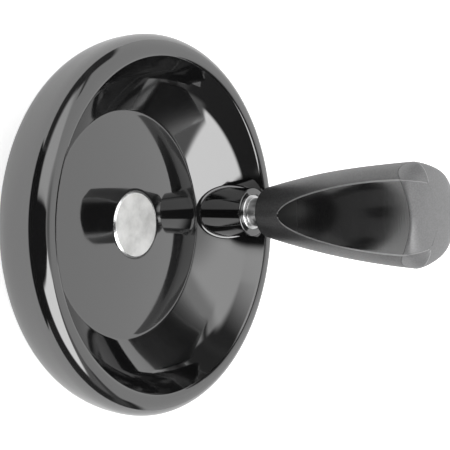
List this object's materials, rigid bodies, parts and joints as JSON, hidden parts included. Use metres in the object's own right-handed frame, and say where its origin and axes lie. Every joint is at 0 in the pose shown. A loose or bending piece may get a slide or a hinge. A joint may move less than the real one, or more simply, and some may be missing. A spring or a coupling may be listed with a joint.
{
  "type": "machine handwheel",
  "caption": "Dished moulded handwheel with a blind steel-lined hub bore and a revolving three-sided handle on a spindle near the rim.",
  "frame": {"origin": "centre of the mouth of the shaft bore, in the rear face of the hub", "axes": "+Z along the wheel's axis towards the front, where the handle stands; +X from the wheel's axis towards the handle"},
  "size_m": [0.1022, 0.1, 0.0914],
  "materials": {
    "wheel_moulding": "polished black thermoset",
    "hub_steel": "fine blasted face with a bright chamfer",
    "turned_steel": "bright turned",
    "spring_steel": "dark oiled",
    "grip_moulding": "satin black, smoother on the facets"
  },
  "bodies": {
    "wheel": {"wheel_body": "wheel_moulding", "hub_bush": "hub_steel", "boss_insert": "turned_steel", "spindle": "turned_steel", "thrust_washer": "turned_steel", "retaining_ring": "spring_steel"},
    "handle": {"grip": "grip_moulding", "grip_cap": "grip_moulding"}
  },
  "joints": [
    {"name": "grip_spin", "type": "hinge", "parent": "wheel", "child": "handle", "pos_m": [0.0378, 0, 0.0355], "axis": [0, 0, 1], "continuous": true}
  ]
}
